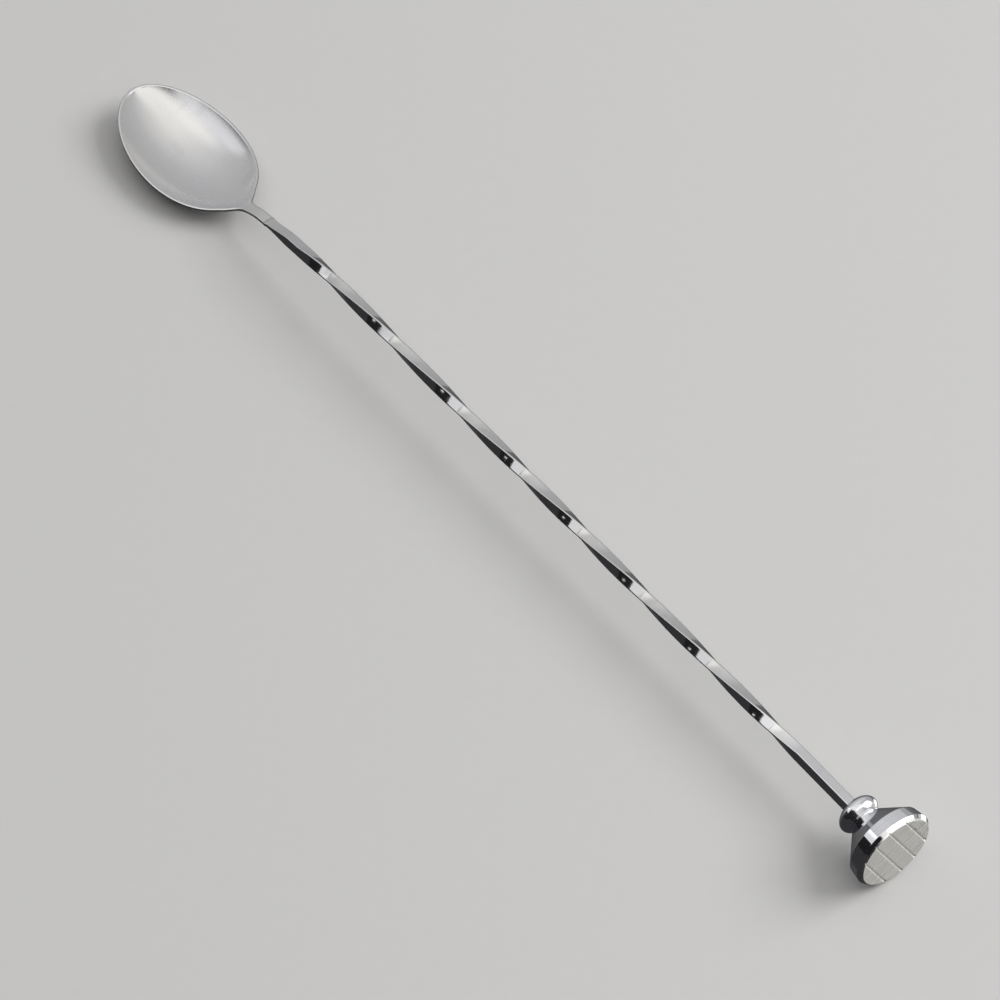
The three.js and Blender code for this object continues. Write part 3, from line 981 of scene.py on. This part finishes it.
def makeRoom(look):
    world = bpy.data.worlds.new("studioRoom")
    bpy.context.scene.world = world
    world.use_nodes = True
    nodes, links = world.node_tree.nodes, world.node_tree.links
    nodes.clear()
    output = nodes.new("ShaderNodeOutputWorld")
    output.label = "room"
    background = nodes.new("ShaderNodeBackground")
    background.label = "room light"
    direction = nodes.new("ShaderNodeTexCoord")
    direction.label = "direction"
    parts = nodes.new("ShaderNodeSeparateXYZ")
    parts.label = "height of the direction"
    height = nodes.new("ShaderNodeMapRange")
    height.label = "floor to ceiling as 0 to 1"
    height.inputs["From Min"].default_value = -1.0
    frontLong = nodes.new("ShaderNodeVectorMath")
    frontLong.label = "front runs along the stem"
    frontLong.operation = "MULTIPLY"
    frontLong.inputs[1].default_value = look["frontStretch"]
    frontUnit = nodes.new("ShaderNodeVectorMath")
    frontUnit.label = "back to length 1"
    frontUnit.operation = "NORMALIZE"
    frontParts = nodes.new("ShaderNodeSeparateXYZ")
    frontParts.label = "height round the stem"
    frontHeight = nodes.new("ShaderNodeMapRange")
    frontHeight.label = "floor to ceiling in front"
    frontHeight.inputs["From Min"].default_value = -1.0
    frontRamp = nodes.new("ShaderNodeValToRGB")
    frontRamp.label = "dark front, bright ceiling"
    backRamp = nodes.new("ShaderNodeValToRGB")
    backRamp.label = "pale wall"
    for ramp, steps in ((frontRamp.color_ramp, look["front"]), (backRamp.color_ramp, look["back"])):
        for z, colour in steps[1:-1]:
            ramp.elements.new((z + 1) / 2)
        for element, (z, colour) in zip(ramp.elements, steps):
            element.position = (z + 1) / 2
            element.color = (*colour, 1)
    towardWall = nodes.new("ShaderNodeVectorMath")
    towardWall.label = "toward the wall"
    towardWall.operation = "DOT_PRODUCT"
    turn = math.radians(look["wallAzimuth"])
    towardWall.inputs[1].default_value = (math.cos(turn), math.sin(turn), 0)
    wallMask = nodes.new("ShaderNodeMapRange")
    wallMask.label = "wall's soft ends"
    wallMask.interpolation_type = "SMOOTHSTEP"
    wallMask.inputs["From Min"].default_value = look["wallEdge"][0]
    wallMask.inputs["From Max"].default_value = look["wallEdge"][1]
    join = nodes.new("ShaderNodeMix")
    join.label = "front or wall"
    join.data_type = "RGBA"
    links.new(direction.outputs["Generated"], parts.inputs["Vector"])
    links.new(parts.outputs["Z"], height.inputs["Value"])
    links.new(direction.outputs["Generated"], frontLong.inputs[0])
    links.new(frontLong.outputs["Vector"], frontUnit.inputs[0])
    links.new(frontUnit.outputs["Vector"], frontParts.inputs["Vector"])
    links.new(frontParts.outputs["Z"], frontHeight.inputs["Value"])
    links.new(frontHeight.outputs["Result"], frontRamp.inputs["Fac"])
    links.new(height.outputs["Result"], backRamp.inputs["Fac"])
    links.new(direction.outputs["Generated"], towardWall.inputs[0])
    links.new(towardWall.outputs["Value"], wallMask.inputs["Value"])
    links.new(wallMask.outputs["Result"], join.inputs["Factor"])
    links.new(frontRamp.outputs["Color"], join.inputs["A"])
    links.new(backRamp.outputs["Color"], join.inputs["B"])
    links.new(join.outputs["Result"], background.inputs["Color"])
    links.new(background.outputs["Background"], output.inputs["Surface"])
    for column, node in enumerate((direction, parts, height, frontLong, frontUnit, frontParts, frontHeight,
                                   frontRamp, backRamp, towardWall, wallMask, join, background, output)):
        node.location = (column * 220 - 1200, 100 - (column % 2) * 180)


makeRoom(roomShape)
bpy.context.scene.view_settings.view_transform = "Standard"
print("lights set")


# pale floor
floorShape = {"reach": 9.0, "colour": (0.72, 0.72, 0.715), "shade": (0.70, 0.70, 0.698), "roughness": 0.9,
              "grainScale": 260.0}


def makeFloor(f):
    # one large quad; a faint grain keeps it from looking like paper
    reach = f["reach"]
    mesh = bpy.data.meshes.new("paleFloor")
    mesh.from_pydata([(-reach, -reach, 0), (reach, -reach, 0), (reach, reach, 0), (-reach, reach, 0)],
                     [], [(0, 1, 2, 3)])
    floor = addObject("paleFloor", mesh)
    material = bpy.data.materials.new("paleFloor")
    material.use_nodes = True
    nodes, links = material.node_tree.nodes, material.node_tree.links
    shader = nodes["Principled BSDF"]
    shader.inputs["Roughness"].default_value = f["roughness"]
    place = nodes.new("ShaderNodeTexCoord")
    place.label = "metres on the floor"
    grain = nodes.new("ShaderNodeTexNoise")
    grain.label = "faint grain"
    grain.inputs["Scale"].default_value = f["grainScale"]
    grain.inputs["Detail"].default_value = 4.0
    tone = nodes.new("ShaderNodeMix")
    tone.label = "two close greys"
    tone.data_type = "RGBA"
    tone.inputs["A"].default_value = (*f["colour"], 1)
    tone.inputs["B"].default_value = (*f["shade"], 1)
    links.new(place.outputs["Object"], grain.inputs["Vector"])
    links.new(grain.outputs["Fac"], tone.inputs["Factor"])
    links.new(tone.outputs["Result"], shader.inputs["Base Color"])
    for column, node in enumerate((place, grain, tone)):
        node.location = (column * 220 - 800, 200)
    mesh.materials.append(material)
    floor.visible_glossy = False   # the metal mirrors a dark room below, not the floor
    floor.visible_shadow = False   # lets the two cards below the table reach the head


makeFloor(floorShape)
print("floor set")
